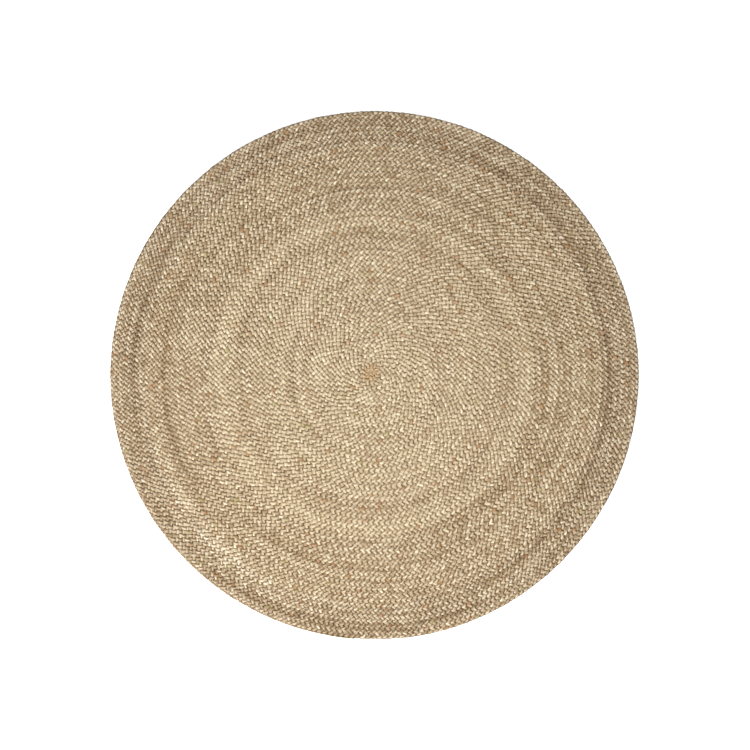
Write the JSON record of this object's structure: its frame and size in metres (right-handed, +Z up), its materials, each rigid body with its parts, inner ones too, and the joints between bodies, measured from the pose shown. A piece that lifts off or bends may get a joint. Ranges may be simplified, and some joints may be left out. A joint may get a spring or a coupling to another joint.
{
  "type": "round braided jute rug",
  "caption": "Round flat area rug: one long three-strand jute plait coiled outwards from an off-centre eye and laced edge to edge, its thinned end bound at the rim.",
  "frame": {"origin": "middle of the rug's round outline, on the floor", "axes": "+Z up out of the floor through the rug's face; the plait's end lies at the rim towards -Y, a little to the left"},
  "size_m": [1.1982, 1.1972, 0.01],
  "materials": {
    "jute_honey": "matte jute plait, honey tan",
    "jute_cream": "satin jute plait, pale cream tan",
    "jute_tan": "satin jute plait, tan",
    "jute_taupe": "satin jute plait, taupe",
    "jute_umber": "satin jute plait, darker taupe",
    "twine_olive": "fine jute twine, olive tan",
    "twine_natural": "matte jute twine, natural"
  },
  "bodies": {
    "root": {"braid_heart": "jute_honey", "braid_turns_01_02": "jute_cream", "braid_turns_03_04": "jute_cream", "braid_turns_05_06": "jute_cream", "braid_turns_07_08": "jute_cream", "braid_turns_09_10": "jute_cream", "braid_turns_11_12": "jute_tan", "braid_turns_13_14": "jute_tan", "braid_turns_15_16": "jute_cream", "braid_turns_17_18": "jute_cream", "braid_turns_19_20": "jute_cream", "braid_turns_21_22": "jute_tan", "braid_turns_23_24": "jute_tan", "braid_turns_25_26": "jute_cream", "braid_turns_27_28": "jute_cream", "braid_turns_29_30": "jute_taupe", "braid_turns_31_32": "jute_taupe", "braid_turns_33_34": "jute_taupe", "braid_turns_35_36": "jute_taupe", "braid_turns_37_38": "jute_taupe", "braid_turns_39_40": "jute_taupe", "braid_turns_41_42": "jute_umber", "braid_turns_43_44": "jute_umber", "braid_turns_45_46": "jute_umber", "braid_turn_47": "jute_umber", "braid_tail": "jute_umber", "tail_whipping": "twine_olive", "lacing_thread": "twine_natural"}
  },
  "joints": []
}
